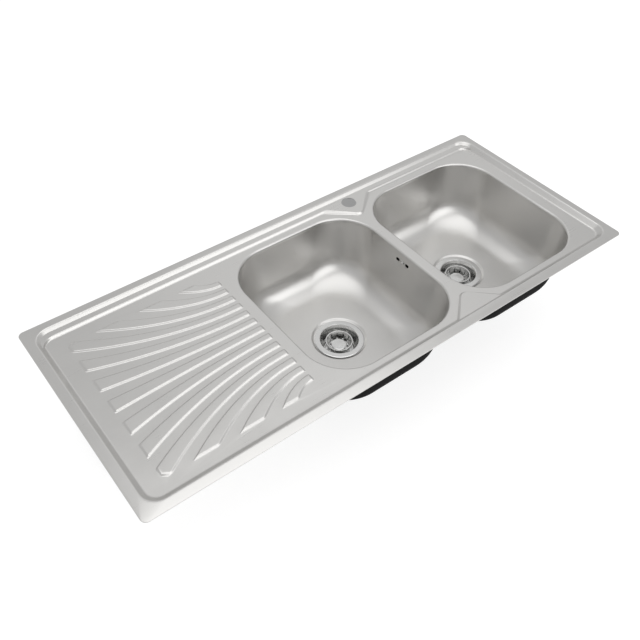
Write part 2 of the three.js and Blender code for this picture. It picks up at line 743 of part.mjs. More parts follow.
// ---- Fixing clips ----
// A clip is drawn at the front, where +Y points into the sink, and turned for the back.
function addClip(name, x, back) {
  const underRaisedDeck = back || x === bowlsMidX;
  const tabTop = (underRaisedDeck ? -ledgeDepth : deckTop) - sheet;
  const line = halfWidth - (back ? backClipInset : frontClipInset);
  const place = (geometry) => {
    if (back) geometry.rotateZ(Math.PI);
    return geometry.translate(x, back ? line : -line, 0);
  };
  const profile = new THREE.Shape([
    [clipTab, tabTop], [0, tabTop], [0, tabTop - clipLegDepth + clipPlate],
    [-clipFootOut, tabTop - clipLegDepth + clipPlate], [-clipFootOut, tabTop - clipLegDepth],
    [clipPlate, tabTop - clipLegDepth], [clipPlate, tabTop - clipPlate], [clipTab, tabTop - clipPlate],
  ].map(([y, z]) => new THREE.Vector2(y, z)));
  const bracket = new THREE.ExtrudeGeometry(profile, { depth: clipWidth, bevelEnabled: false });
  bracket.rotateX(Math.PI / 2).rotateZ(Math.PI / 2).translate(-clipWidth / 2, 0, 0);
  const footZ = tabTop - clipLegDepth;
  const hole = new THREE.CylinderGeometry(
    clipScrewDiameter / 2 + runningGap, clipScrewDiameter / 2 + runningGap, 10, 8,
  ).rotateX(Math.PI / 2);
  const screwY = -clipScrewOut;
  const atScrew = (geometry, z) => place(geometry.translate(0, screwY, z));
  addPiece(`${name}_bracket`,
    toSolid(place(bracket)).subtract(toSolid(atScrew(hole.clone(), footZ))), metal(0xb9babc, 0.4));

  const lipTop = -worktopThickness - 0.5;
  const clawBottom = lipTop - clawLipHeight;
  const clawShape = new THREE.Shape();
  const end = clawLength - clawWidth / 2;
  clawShape.moveTo(end, clawWidth / 2);
  clawShape.lineTo(0, clawWidth / 2);
  clawShape.absarc(0, 0, clawWidth / 2, Math.PI / 2, Math.PI * 1.5);
  clawShape.lineTo(end, -clawWidth / 2);
  const claw = toSolid(atScrew(new THREE.ExtrudeGeometry(clawShape, {
    depth: clawThickness, bevelEnabled: false, curveSegments: 4,
  }), clawBottom));
  const lip = toSolid(atScrew(
    new THREE.BoxGeometry(clawThickness, clawWidth, clawLipHeight).translate(end - clawThickness / 2, 0, 0),
    (lipTop + clawBottom) / 2,
  ));
  addPiece(`${name}_claw`, claw.add(lip).subtract(toSolid(atScrew(hole.clone(), clawBottom))),
    metal(0xb4b5b8, 0.4));

  const headTop = clawBottom - runningGap;
  const shank = clipScrewDiameter / 2;
  const screwTop = footZ + 8;
  const screw = turned([
    [0, headTop - 4], [5, headTop - 4], [5, headTop], [shank, headTop],
    [shank, screwTop - 1], [shank - 0.8, screwTop], [0, screwTop],
  ], 0, screwY, 6);
  addPiece(`${name}_screw`, place(screw), metal(0xbfc0c2, 0.3));
}

clipFrontX.forEach((x, i) => addClip(`front_clip_${i + 1}`, x, false));
clipBackX.forEach((x, i) => addClip(`back_clip_${i + 1}`, x, true));

export default sink;
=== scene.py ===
import json
import math

import bmesh
import bpy
from bpy.props import FloatProperty, IntProperty, PointerProperty, StringProperty
from mathutils import Euler, Matrix, Vector

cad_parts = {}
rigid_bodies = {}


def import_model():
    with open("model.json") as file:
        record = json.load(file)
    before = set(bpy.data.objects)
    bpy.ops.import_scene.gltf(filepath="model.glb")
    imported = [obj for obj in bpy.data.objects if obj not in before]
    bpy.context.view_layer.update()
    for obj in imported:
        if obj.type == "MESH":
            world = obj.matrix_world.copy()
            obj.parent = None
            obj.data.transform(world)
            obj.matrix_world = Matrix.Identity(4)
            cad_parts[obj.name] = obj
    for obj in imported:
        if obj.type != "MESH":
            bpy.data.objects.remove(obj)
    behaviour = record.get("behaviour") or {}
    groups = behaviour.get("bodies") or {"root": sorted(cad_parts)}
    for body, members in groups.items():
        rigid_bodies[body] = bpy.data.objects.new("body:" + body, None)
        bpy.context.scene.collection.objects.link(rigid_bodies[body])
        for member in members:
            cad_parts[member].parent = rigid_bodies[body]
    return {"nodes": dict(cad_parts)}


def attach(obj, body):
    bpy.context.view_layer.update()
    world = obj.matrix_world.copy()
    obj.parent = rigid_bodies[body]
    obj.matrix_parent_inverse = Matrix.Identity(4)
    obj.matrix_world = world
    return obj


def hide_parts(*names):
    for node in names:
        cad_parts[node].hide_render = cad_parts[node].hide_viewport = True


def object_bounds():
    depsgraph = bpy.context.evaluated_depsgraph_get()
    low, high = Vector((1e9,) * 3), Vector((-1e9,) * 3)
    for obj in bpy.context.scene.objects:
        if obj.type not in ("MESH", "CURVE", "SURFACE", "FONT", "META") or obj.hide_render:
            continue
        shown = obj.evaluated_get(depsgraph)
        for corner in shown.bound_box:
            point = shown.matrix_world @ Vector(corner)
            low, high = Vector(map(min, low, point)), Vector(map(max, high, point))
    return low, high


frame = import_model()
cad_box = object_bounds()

bl_info = {
    "name": "Double bowl sink",
    "version": (1, 0, 0),
    "blender": (4, 5, 0),
    "location": "3D View > Sidebar > Sink",
    "description": "Finishes the pieces of an inset kitchen sink with two bowls and a drainer",
    "category": "Object",
}

MM = 0.001
SAME_POINT = 0.001 * MM    # points that are nearer than this are merged
SLIVER = 0.002 * MM        # gaps and faces that are narrower than this are closed


# ---- Sizes and colours ----

class SinkSizes(bpy.types.PropertyGroup):
    """Sizes that shape the finished pieces. The frame holds the same ones."""

    length: FloatProperty(
        name="Length", description="Overall length of the rim", default=1.2, unit="LENGTH")
    width: FloatProperty(
        name="Width", description="Overall width of the rim", default=0.5, unit="LENGTH")
    sheet: FloatProperty(
        name="Sheet", description="Thickness of the steel sheet", default=0.0009, unit="LENGTH")
    rim_height: FloatProperty(
        name="Rim height", description="Crest of the rim over the worktop", default=0.004,
        unit="LENGTH")
    deck_depth: FloatProperty(
        name="Deck depth", description="Deck below the worktop", default=0.007, unit="LENGTH")
    ledge_depth: FloatProperty(
        name="Ledge depth", description="Tap ledge and islands below the worktop",
        default=0.0022, unit="LENGTH")
    rib_height: FloatProperty(
        name="Rib height", description="Drainer ribs over the deck", default=0.0026,
        unit="LENGTH")
    rib_softness: FloatProperty(
        name="Rib softness", description="Width of the rounding along pressed edges",
        default=0.0014, unit="LENGTH")
    mouth_radius: FloatProperty(
        name="Mouth radius", description="Rounding from the deck into a bowl", default=0.005,
        unit="LENGTH")
    corner_steps: IntProperty(
        name="Corner steps", description="Steps round a corner of the rim",
        default=16, min=4)
    bowl_steps: IntProperty(
        name="Bowl steps", description="Steps round a corner of a bowl", default=24, min=4)
    turned_steps: IntProperty(
        name="Turned steps", description="Steps round a turned piece", default=96, min=12)


class SinkColours(bpy.types.PropertyGroup):
    """Colours as sRGB hex values."""

    deck: StringProperty(name="Deck", description="Satin steel of the deck", default="#D5D4D2")
    bowl: StringProperty(name="Bowls", description="Satin steel of the bowls", default="#D4D3D1")
    bright: StringProperty(name="Strainers", description="Polished steel", default="#D9D9D8")
    zinc: StringProperty(name="Clips", description="Zinc-plated steel", default="#B9BBBD")
    coat: StringProperty(name="Coat", description="Sound-deadening coat", default="#070707")
    rubber: StringProperty(name="Rubber", description="Gaskets and seals", default="#1E1E1F")
    foam: StringProperty(name="Foam", description="Strip under the rim", default="#38383A")
    plastic: StringProperty(name="Plastic", description="Waste bodies", default="#E4E4E1")
    dark_plastic: StringProperty(
        name="Dark plastic", description="Overflow housing", default="#242425")
    floor: StringProperty(name="Floor", description="Studio floor", default="#F4F4F3")


def sizes():
    return bpy.context.scene.sink_sizes


def colours():
    return bpy.context.scene.sink_colours


def linear(hex_value):
    """An sRGB hex value as linear red, green, blue and alpha."""
    parts = [int(hex_value[i:i + 2], 16) / 255 for i in (1, 3, 5)]
    return tuple(
        p / 12.92 if p <= 0.04045 else ((p + 0.055) / 1.055) ** 2.4 for p in parts) + (1.0,)


def shades(hex_value, darker, lighter):
    """A dark and a light shade of a colour, as factors of its linear value."""
    return [tuple(min(1, part * factor) for part in linear(hex_value)[:3]) + (1,)
            for factor in (darker, lighter)]


# ---- Places, in metres, as the frame has them ----

BOWL_LENGTH = 343 * MM
BOWL_WIDTH = 390 * MM
BOWL_CORNER = 95 * MM
BOWL_DEPTH = 163 * MM
BOWL_TAPER_DEGREES = 6
BOWL_TAPER = math.tan(math.radians(BOWL_TAPER_DEGREES))
BOWL_FLOOR_RADIUS = 60 * MM
MOUTH_COLLAR = 4 * MM
BOWL_CENTRES = {"left": -8 * MM, "right": 364 * MM}
BOWL_Y = -7 * MM
ISLANDS_X = 178 * MM


# ---- Modelling by hand ----

def deselect():
    """Leaves edit mode and deselects every object."""
    if bpy.context.object and bpy.context.object.mode == "EDIT":
        bpy.ops.object.mode_set(mode="OBJECT")
    for other in bpy.data.objects:
        other.select_set(False)


def activate(obj):
    deselect()
    obj.select_set(True)
    bpy.context.view_layer.objects.active = obj


def edit(obj):
    """Enters edit mode on one object, with its points selectable."""
    activate(obj)
    bpy.ops.object.mode_set(mode="EDIT")
    bpy.ops.mesh.select_mode(type="VERT")


def finish_edit():
    bpy.ops.object.mode_set(mode="OBJECT")


def blank(name):
    """An object with an empty mesh, left in edit mode."""
    deselect()
    bpy.ops.mesh.primitive_plane_add(size=1, location=(0, 0, 0))
    obj = bpy.context.object
    obj.name = name
    obj.data.name = name
    edit(obj)
    bpy.ops.mesh.select_all(action="SELECT")
    bpy.ops.mesh.delete(type="VERT")
    return obj


def select(kind, test):
    """Selects the vertices, edges or faces of the mesh being edited that pass a test."""
    bpy.ops.mesh.select_mode(type=kind)
    bpy.ops.mesh.select_all(action="DESELECT")
    mesh = bpy.context.edit_object.data
    bm = bmesh.from_edit_mesh(mesh)
    found = {"VERT": bm.verts, "EDGE": bm.edges, "FACE": bm.faces}[kind]
    for item in found:
        if test(item):
            item.select_set(True)
    bmesh.update_edit_mesh(mesh)


def tidy(obj, distance=SAME_POINT):
    """Merges doubles and points every face outwards."""
    edit(obj)
    bpy.ops.mesh.select_all(action="SELECT")
    bpy.ops.mesh.remove_doubles(threshold=distance)
    bpy.ops.mesh.normals_make_consistent(inside=False)
    finish_edit()


def face_up(obj, distance=SAME_POINT):
    """Tidies an open sheet and turns every face to its upper side."""
    tidy(obj, distance)
    if sum(face.normal.z * face.area for face in obj.data.polygons) < 0:
        edit(obj)
        bpy.ops.mesh.select_all(action="SELECT")
        bpy.ops.mesh.flip_normals()
        finish_edit()


def modify(obj, kind, **settings):
    """Adds a modifier with its settings and applies it."""
    activate(obj)
    modifier = obj.modifiers.new(kind.title(), kind)
    for key, value in settings.items():
        setattr(modifier, key, value)
    bpy.ops.object.modifier_apply(modifier=modifier.name)


def cut(obj, *cutters):
    """Takes each cutter out of an object, and then removes the cutter."""
    for cutter in cutters:
        modify(obj, "BOOLEAN", object=cutter, operation="DIFFERENCE", solver="EXACT")
        bpy.data.objects.remove(cutter)


def smooth(obj, degrees=30):
    """Shades an object smooth, apart from edges that fold by more than an angle."""
    activate(obj)
    bpy.ops.object.shade_smooth_by_angle(angle=math.radians(degrees))
    modify(obj, "WEIGHTED_NORMAL", keep_sharp=True, weight=60)


def soften(obj, width, degrees):
    """Rounds the edges that fold by more than an angle."""
    modify(obj, "BEVEL", width=width, segments=2, limit_method="ANGLE",
           angle_limit=math.radians(degrees), harden_normals=False)


def add_ring(half_x, half_y, radius, z, centre=(0, 0), steps=None, keep_face=False):
    """Adds a rectangle with round corners to the mesh being edited, and returns its points."""
    bpy.ops.mesh.select_mode(type="VERT")
    bpy.ops.mesh.select_all(action="DESELECT")
    place = (centre[0], centre[1], z)
    bpy.ops.mesh.primitive_plane_add(size=2, location=place)
    bpy.ops.transform.resize(value=(half_x, half_y, 1), center_override=place)
    bpy.ops.mesh.bevel(offset=radius, segments=steps or sizes().corner_steps, affect="VERTICES")
    bm = bmesh.from_edit_mesh(bpy.context.edit_object.data)
    marks = {v.co.to_tuple(6) for v in bm.verts if v.select}
    if not keep_face:
        bpy.ops.mesh.delete(type="ONLY_FACE")
    return marks


def bridge(first, second, **options):
    """Joins two rings that were added before with a band of faces."""
    def between(edge):
        ends = [v.co.to_tuple(6) for v in edge.verts]
        return all(end in first for end in ends) or all(end in second for end in ends)

    select("EDGE", between)
    bpy.ops.mesh.bridge_edge_loops(**options)


def put_in_order(obj):
    """Gives the faces a fixed order, which spin leaves to chance. The shape stays the same."""
    points = [tuple(vertex.co) for vertex in obj.data.vertices]
    faces = []
    for face in obj.data.polygons:
        corners = list(face.vertices)
        first = corners.index(min(corners))
        faces.append(corners[first:] + corners[:first])
    obj.data.clear_geometry()
    obj.data.from_pydata(points, [], sorted(faces))


def turned(name, profile, centre, steps=None):
    """A turned piece around an upright axis, from a profile of (radius, z) in millimetres."""
    obj = blank(name)
    start = (centre[0] + profile[0][0] * MM, centre[1], profile[0][1] * MM)
    bpy.ops.mesh.primitive_plane_add(size=MM, location=start)
    bpy.ops.mesh.merge(type="CENTER")
    for (r0, z0), (r1, z1) in zip(profile, profile[1:]):
        bpy.ops.mesh.extrude_region_move(
            TRANSFORM_OT_translate={"value": ((r1 - r0) * MM, 0, (z1 - z0) * MM)})
    bpy.ops.mesh.select_all(action="SELECT")
    bpy.ops.mesh.spin(steps=steps or sizes().turned_steps, angle=2 * math.pi,
                      center=(centre[0], centre[1], 0), axis=(0, 0, 1))
    finish_edit()
    tidy(obj)
    put_in_order(obj)
    return obj


def block(name, size, place, turn):
    """A box cutter at a place, turned about the upright axis."""
    deselect()
    bpy.ops.mesh.primitive_cube_add(size=1, location=place, rotation=(0, 0, turn))
    obj = bpy.context.object
    obj.name = name
    obj.scale = size
    bpy.ops.object.transform_apply(location=True, rotation=True, scale=True)
    return obj


def rod(name, radius, height, place, steps=32):
    """A round cutter at a place, along the upright axis."""
    deselect()
    bpy.ops.mesh.primitive_cylinder_add(vertices=steps, radius=radius, depth=height, location=place)
    obj = bpy.context.object
    obj.name = name
    bpy.ops.object.transform_apply(location=True, rotation=True, scale=True)
    return obj


def joined(objects):
    """Joins objects into the first of them."""
    deselect()
    for obj in objects:
        obj.select_set(True)
    bpy.context.view_layer.objects.active = objects[0]
    bpy.ops.object.join()
    return objects[0]


def merge_flats(obj, degrees):
    """Makes one face of each flat area, so that a cut or a bevel leaves no slivers in it."""
    edit(obj)
    bpy.ops.mesh.select_all(action="SELECT")
    bpy.ops.mesh.dissolve_limited(angle_limit=math.radians(degrees))
    finish_edit()


def softened_copy(node, width):
    """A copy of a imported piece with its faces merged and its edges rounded."""
    deselect()
    copy = bpy.data.objects.new(node + "_finished", frame["nodes"][node].data.copy())
    bpy.context.collection.objects.link(copy)
    activate(copy)
    if copy.data.has_custom_normals:
        bpy.ops.mesh.customdata_custom_splitnormals_clear()
    tidy(copy)
    merge_flats(copy, 2)
    soften(copy, width, 25)
    edit(copy)
    bpy.ops.mesh.select_all(action="SELECT")
    bpy.ops.mesh.dissolve_degenerate(threshold=SLIVER)
    finish_edit()
    smooth(copy)
    return copy


def hand_over(obj, material, body, slot, *nodes):
    """Gives a finished piece its material and its body, and hides the nodes it stands in for. The
    slot is not used.
    """
    obj.data.materials.clear()
    obj.data.materials.append(material)
    for face in obj.data.polygons:
        face.material_index = 0
    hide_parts(*nodes)
    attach(obj, body)


# ---- Materials ----

def new_material(name):
    material = bpy.data.materials.get(name) or bpy.data.materials.new(name)
    material.use_nodes = True
    material.node_tree.nodes.clear()
    return material


def add_node(tree, kind, settings=None, links=None):
    """Adds a node. Settings are its options and socket values, links its inputs."""
    made = tree.nodes.new(kind)
    for key, value in (settings or {}).items():
        if isinstance(key, str) and hasattr(made, key):
            setattr(made, key, value)
        else:
            made.inputs[key].default_value = value
    for key, output in (links or {}).items():
        tree.links.new(output, made.inputs[key])
    return made


def steel(name, colour, roughness, line_length, line_width, cloud, wobble=0.0):
    """Steel with a fine finish: lines along X, a faint cloudiness and, where asked, a wobble.
    The length, the width and the sizes of clouds and wobble are in metres."""
    material = new_material(name)
    tree = material.node_tree
    place = add_node(tree, "ShaderNodeTexCoord")
    lines_at = add_node(
        tree, "ShaderNodeMapping",
        {"Scale": (1 / line_length, 1 / line_width, 1 / line_width)},
        {"Vector": place.outputs["Object"]})
    lines = add_node(tree, "ShaderNodeTexNoise", {"Scale": 1.0, "Detail": 3.0, "Roughness": 0.6},
                     {"Vector": lines_at.outputs["Vector"]})
    clouds = add_node(tree, "ShaderNodeTexNoise", {"Scale": 1 / cloud, "Detail": 2.0},
                      {"Vector": place.outputs["Object"]})
    both = add_node(tree, "ShaderNodeMix", {"data_type": "FLOAT", 0: 0.45},
                    {2: lines.outputs["Fac"], 3: clouds.outputs["Fac"]})
    spread = 0.035
    rough = add_node(tree, "ShaderNodeMapRange",
                     {"From Min": 0.3, "From Max": 0.7, "To Min": roughness - spread,
                      "To Max": roughness + spread}, {"Value": both.outputs[0]})
    dark, light = shades(colour, 0.965, 1.03)
    tone = add_node(tree, "ShaderNodeMix", {"data_type": "RGBA", 6: dark, 7: light},
                    {0: both.outputs[0]})
    bump = add_node(tree, "ShaderNodeBump", {"Strength": 0.12, "Distance": 0.00004},
                    {"Height": lines.outputs["Fac"]})
    if wobble:
        waves = add_node(tree, "ShaderNodeTexNoise", {"Scale": 14.0, "Detail": 0.0},
                         {"Vector": place.outputs["Object"]})
        bump = add_node(tree, "ShaderNodeBump", {"Strength": 0.5, "Distance": wobble},
                        {"Height": waves.outputs["Fac"], "Normal": bump.outputs["Normal"]})
    shader = add_node(tree, "ShaderNodeBsdfPrincipled", {"Metallic": 1.0},
                      {"Base Color": tone.outputs[2], "Roughness": rough.outputs["Result"],
                       "Normal": bump.outputs["Normal"]})
    add_node(tree, "ShaderNodeOutputMaterial", None, {"Surface": shader.outputs["BSDF"]})
    return material


def grained(name, colour, roughness, grain, depth, variation=0.12, specular=0.5):
    """Rubber, foam, coat or moulded plastic: a flat colour with a real grain on it. The size of
    the grain and its depth are in metres."""
    material = new_material(name)
    tree = material.node_tree
    place = add_node(tree, "ShaderNodeTexCoord")
    grains = add_node(tree, "ShaderNodeTexNoise", {"Scale": 1 / grain, "Detail": 4.0,
                                                   "Roughness": 0.65},
                      {"Vector": place.outputs["Object"]})
    dark, light = shades(colour, 1 - variation, 1 + variation)
    tone = add_node(tree, "ShaderNodeMix", {"data_type": "RGBA", 6: dark, 7: light},
                    {0: grains.outputs["Fac"]})
    spread = 0.06
    rough = add_node(tree, "ShaderNodeMapRange",
                     {"From Min": 0.3, "From Max": 0.7, "To Min": roughness - spread,
                      "To Max": min(1, roughness + spread)}, {"Value": grains.outputs["Fac"]})
    bump = add_node(tree, "ShaderNodeBump", {"Strength": 0.6, "Distance": depth},
                    {"Height": grains.outputs["Fac"]})
    shader = add_node(tree, "ShaderNodeBsdfPrincipled", {"Specular IOR Level": specular},
                      {"Base Color": tone.outputs[2], "Roughness": rough.outputs["Result"],
                       "Normal": bump.outputs["Normal"]})
    add_node(tree, "ShaderNodeOutputMaterial", None, {"Surface": shader.outputs["BSDF"]})
    return material


# Satin stainless sheet, finished along the sink's length: reflections spread along the lines.
# Its real lines are about 0.1 mm apart, and are drawn ten times as coarse so that they show.
def satin_sheet():
    return steel("satin_stainless_sheet", colours().deck, 0.30, 90 * MM, 1.1 * MM, 60 * MM)


# Deep-drawn stainless: the same sheet after drawing, slightly duller and a little uneven.
def drawn_sheet():
    return steel("deep_drawn_stainless", colours().bowl, 0.33, 5 * MM, 2.2 * MM, 45 * MM, 0.0004)


# Polished stainless of the strainers: close to a mirror, with faint turning marks.
def polished_steel():
    return steel("polished_stainless", colours().bright, 0.22, 4 * MM, 0.8 * MM, 12 * MM)


# Bright zinc plating on pressed steel: grey, with soft patches of its crystals.
def zinc_plate():
    return steel("zinc_plated_steel", colours().zinc, 0.36, 3 * MM, 2.5 * MM, 6 * MM)


# Sprayed bitumen coat: dull black with a coarse orange-peel grain of about 2 mm.
def bitumen_coat():
    return grained("sprayed_bitumen_coat", colours().coat, 0.85, 2.2 * MM, 0.0004, 0.3, 0.15)


# Moulded nitrile rubber: black, dull, nearly smooth.
def nitrile_rubber():
    return grained("moulded_nitrile_rubber", colours().rubber, 0.62, 1.2 * MM, 0.00003)


# Closed-cell foam strip: dark grey with cells of about 0.8 mm.
def cell_foam():
    return grained("closed_cell_foam", colours().foam, 0.9, 0.8 * MM, 0.0002, 0.25, 0.2)


# Moulded polypropylene: milky white with a faint moulding grain.
def white_polypropylene():
    return grained("moulded_polypropylene", colours().plastic, 0.42, 1.5 * MM, 0.00002, 0.02)


# Moulded black polypropylene of the overflow housing.
def black_polypropylene():
    return grained("black_polypropylene", colours().dark_plastic, 0.5, 1.5 * MM, 0.00003)


# ---- Deck ----

RIM_CORNER = 12 * MM
# Profile of the rim from its edge inwards, as (inset, height, corner radius) in millimetres: a
# rolled edge, a slope to the crest, and a soft fall to the deck.
RIM_PROFILE = (
    (0, 0, 12), (0, 0.7, 12), (0.25, 1.25, 12), (1, 1.72, 12), (6, 2.5, 19), (11, 3.2, 26),
    (15, 3.72, 33), (17, 3.93, 34), (18.5, 4, 34), (19.6, 3.85, 33.2), (20.7, 3.3, 32.2),
    (21.8, 2.4, 31.2), (29.4, -5.0, 25), (30.6, -6.0, 24), (32, -6.7, 23), (33.6, -7, 21.5),
)
CREST_LEVEL, DECK_LEVEL = 4, -7
BLOCK_FOOT, BLOCK_OVERLAP = -30 * MM, 3 * MM
RIB_COUNT = 13
RIB_PITCH = 25.9 * MM
RIB_WIDTH = 13.4 * MM
RIB_SLOPE = 3.6 * MM
RIB_LEFT = -532 * MM
RIB_RIGHT = -208 * MM
RIB_HALF_FIELD = 182 * MM
FAN_EDGE = RIB_HALF_FIELD * 0.77    # past this the outermost ribs flare more
FAN_SPREAD, FAN_FLARE = 1.25, 1.42
SOFT_STEPS, MIDDLE_STEPS, END_STEPS = 8, 26, 14
RIB_END_RUN = 22 * MM
STEP_SLOPE = 5 * MM
HIDDEN_INSET = 25 * MM
LEDGE_FRONT = 208.5 * MM
LEDGE_CORNER = 30 * MM
ISLAND_NOSE_RADIUS = 17 * MM
ISLAND_NOSE_Y = 157 * MM
ISLAND_HALF_BASE = 66 * MM
TAP_HOLE_RADIUS = 17.5 * MM
TAP_HOLE_Y = 201 * MM


def fan_y(s, x):
    """Where the fan line that starts at offset s from the ribs' axis stands at x."""
    u = (RIB_RIGHT - x) / (RIB_RIGHT - RIB_LEFT)
    flare = FAN_FLARE * (abs(s) / FAN_EDGE) ** 8
    return BOWL_Y + s * (1 + u * u * (FAN_SPREAD + flare))


def island_sides(margin, base_y):
    """Free sides of the back island, from left to right round its nose."""
    radius = ISLAND_NOSE_RADIUS - margin / 2
    half = ISLAND_HALF_BASE - margin * 2
    nose = ISLAND_NOSE_Y + margin + radius
    rise = base_y - nose
    tangent = math.atan2(rise, half) - math.acos(radius / math.hypot(half, rise))
    points = [(ISLANDS_X - half, base_y)]
    steps = 14
    for step in range(steps + 1):
        angle = -math.pi - tangent + (math.pi + 2 * tangent) * step / steps
        points.append((ISLANDS_X + radius * math.cos(angle), nose + radius * math.sin(angle)))
    points.append((ISLANDS_X + half, base_y))
    return points


def ledge_outline(margin):
    """Outline of the tap ledge with the back island on it. Its back lies hidden under the rim."""
    front = LEDGE_FRONT + margin
    end_x = sizes().length / 2 - HIDDEN_INSET
    back = sizes().width / 2 - HIDDEN_INSET
    radius = LEDGE_CORNER + margin
    steps = 12
    quarter = [math.pi / 2 * step / steps for step in range(steps + 1)]
    left = [(-end_x + radius - radius * math.cos(a), front - radius + radius * math.sin(a))
            for a in quarter]
    right = [(-x, y) for x, y in reversed(left)]
    return [(-end_x, back)] + left + island_sides(margin, front) + right + [(end_x, back)]


def front_island_outline(margin):
    """Outline of the front island: the back one, mirrored about the bowls' axis."""
    base = 2 * BOWL_Y + sizes().width / 2 - HIDDEN_INSET
    return [(x, 2 * BOWL_Y - y) for x, y in island_sides(margin, base)]


def pressed(share):
    """Height of a pressed edge, from 0 at its foot to 1 at its top, with both ends soft."""
    return 0.5 - 0.5 * math.cos(math.pi * min(max(share, 0), 1))


def raised_block(name, outline):
    """A block that stands up from the deck with a soft, sloped edge all round."""
    s = sizes()
    deck = -s.deck_depth
    run = STEP_SLOPE + s.rib_softness
    steps = 9
    levels = [(-run / 2, deck - BLOCK_OVERLAP)]
    levels += [(run * (i / steps - 0.5), deck + (s.deck_depth - s.ledge_depth) * pressed(i / steps))
               for i in range(steps + 1)]
    points, faces = [], []
    for margin, z in levels:
        points += [(x, y, z) for x, y in outline(margin)]
    count = len(points) // len(levels)
    for level in range(len(levels) - 1):
        for i in range(count):
            a, b = level * count + i, level * count + (i + 1) % count
            faces.append((a, b, b + count, a + count))
    faces.append(tuple(range(count))[::-1])
    faces.append(tuple(range(len(points) - count, len(points))))
    mesh = bpy.data.meshes.new(name)
    mesh.from_pydata(points, [], faces)
    obj = bpy.data.objects.new(name, mesh)
    bpy.context.collection.objects.link(obj)
    tidy(obj)
    return obj


def make_rib(number):
    """One drainer rib: a grid laid along the fan lines, whose points are lifted to the rib's
    height away from its sides and ends. Its edge stays at the deck."""
    s = sizes()
    run = RIB_SLOPE + s.rib_softness
    soft = [run * i / SOFT_STEPS for i in range(SOFT_STEPS + 1)]
    axis = (number - (RIB_COUNT - 1) / 2) * RIB_PITCH
    low, high = axis - RIB_WIDTH / 2, axis + RIB_WIDTH / 2
    right = RIB_RIGHT + run / 2
    left = RIB_LEFT - run / 2
    half = RIB_HALF_FIELD + run / 2
    columns = [(low, d - run / 2) for d in soft] + [(axis, 0)] + [
        (high, run / 2 - d) for d in reversed(soft)]
    first_end_row = SOFT_STEPS + 1 + MIDDLE_STEPS
    rows = first_end_row + END_STEPS

    deselect()
    bpy.ops.mesh.primitive_grid_add(
        x_subdivisions=len(columns) - 1, y_subdivisions=rows - 1, size=1, location=(0, 0, 0))
    obj = bpy.context.object
    obj.name = "rib"

    def beyond(column, x):
        return abs(fan_y(column[0], x) + column[1] - BOWL_Y) > half

    ends = []
    for column in columns:
        end = left
        if beyond(column, left):
            inside, outside = right, left
            for _ in range(40):    # halving finds where the line leaves the field
                centre = (inside + outside) / 2
                inside, outside = (inside, centre) if beyond(column, centre) else (centre, outside)
            end = inside
        ends.append(end)

    for index, vertex in enumerate(obj.data.vertices):
        row, place = divmod(index, len(columns))
        column, end = columns[place], ends[place]
        inner_end = end + RIB_END_RUN
        if row <= SOFT_STEPS:
            x = right - soft[row]
        elif row < first_end_row:
            reach = inner_end - right + run
            x = right - run + reach * (row - SOFT_STEPS) / (MIDDLE_STEPS + 1)
        else:
            x = inner_end + (end - inner_end) * (row - first_end_row + 1) / END_STEPS
        y = fan_y(column[0], x) + column[1]
        side = min(abs(y - fan_y(low, x) + run / 2), abs(fan_y(high, x) + run / 2 - y))
        tip = min(right - x, x - left, half - abs(y - BOWL_Y))
        lift = s.rib_height * pressed(side / run) * pressed(tip / run)
        vertex.co = (x, y, lift - s.deck_depth)
    return obj


def inset_at(point, half_x, half_y, radius):
    """How far a point lies inside a rectangle with round corners."""
    dx = abs(point.x) - (half_x - radius)
    dy = abs(point.y) - (half_y - radius)
    outside = math.hypot(max(dx, 0), max(dy, 0)) + min(max(dx, dy), 0)
    return radius - outside


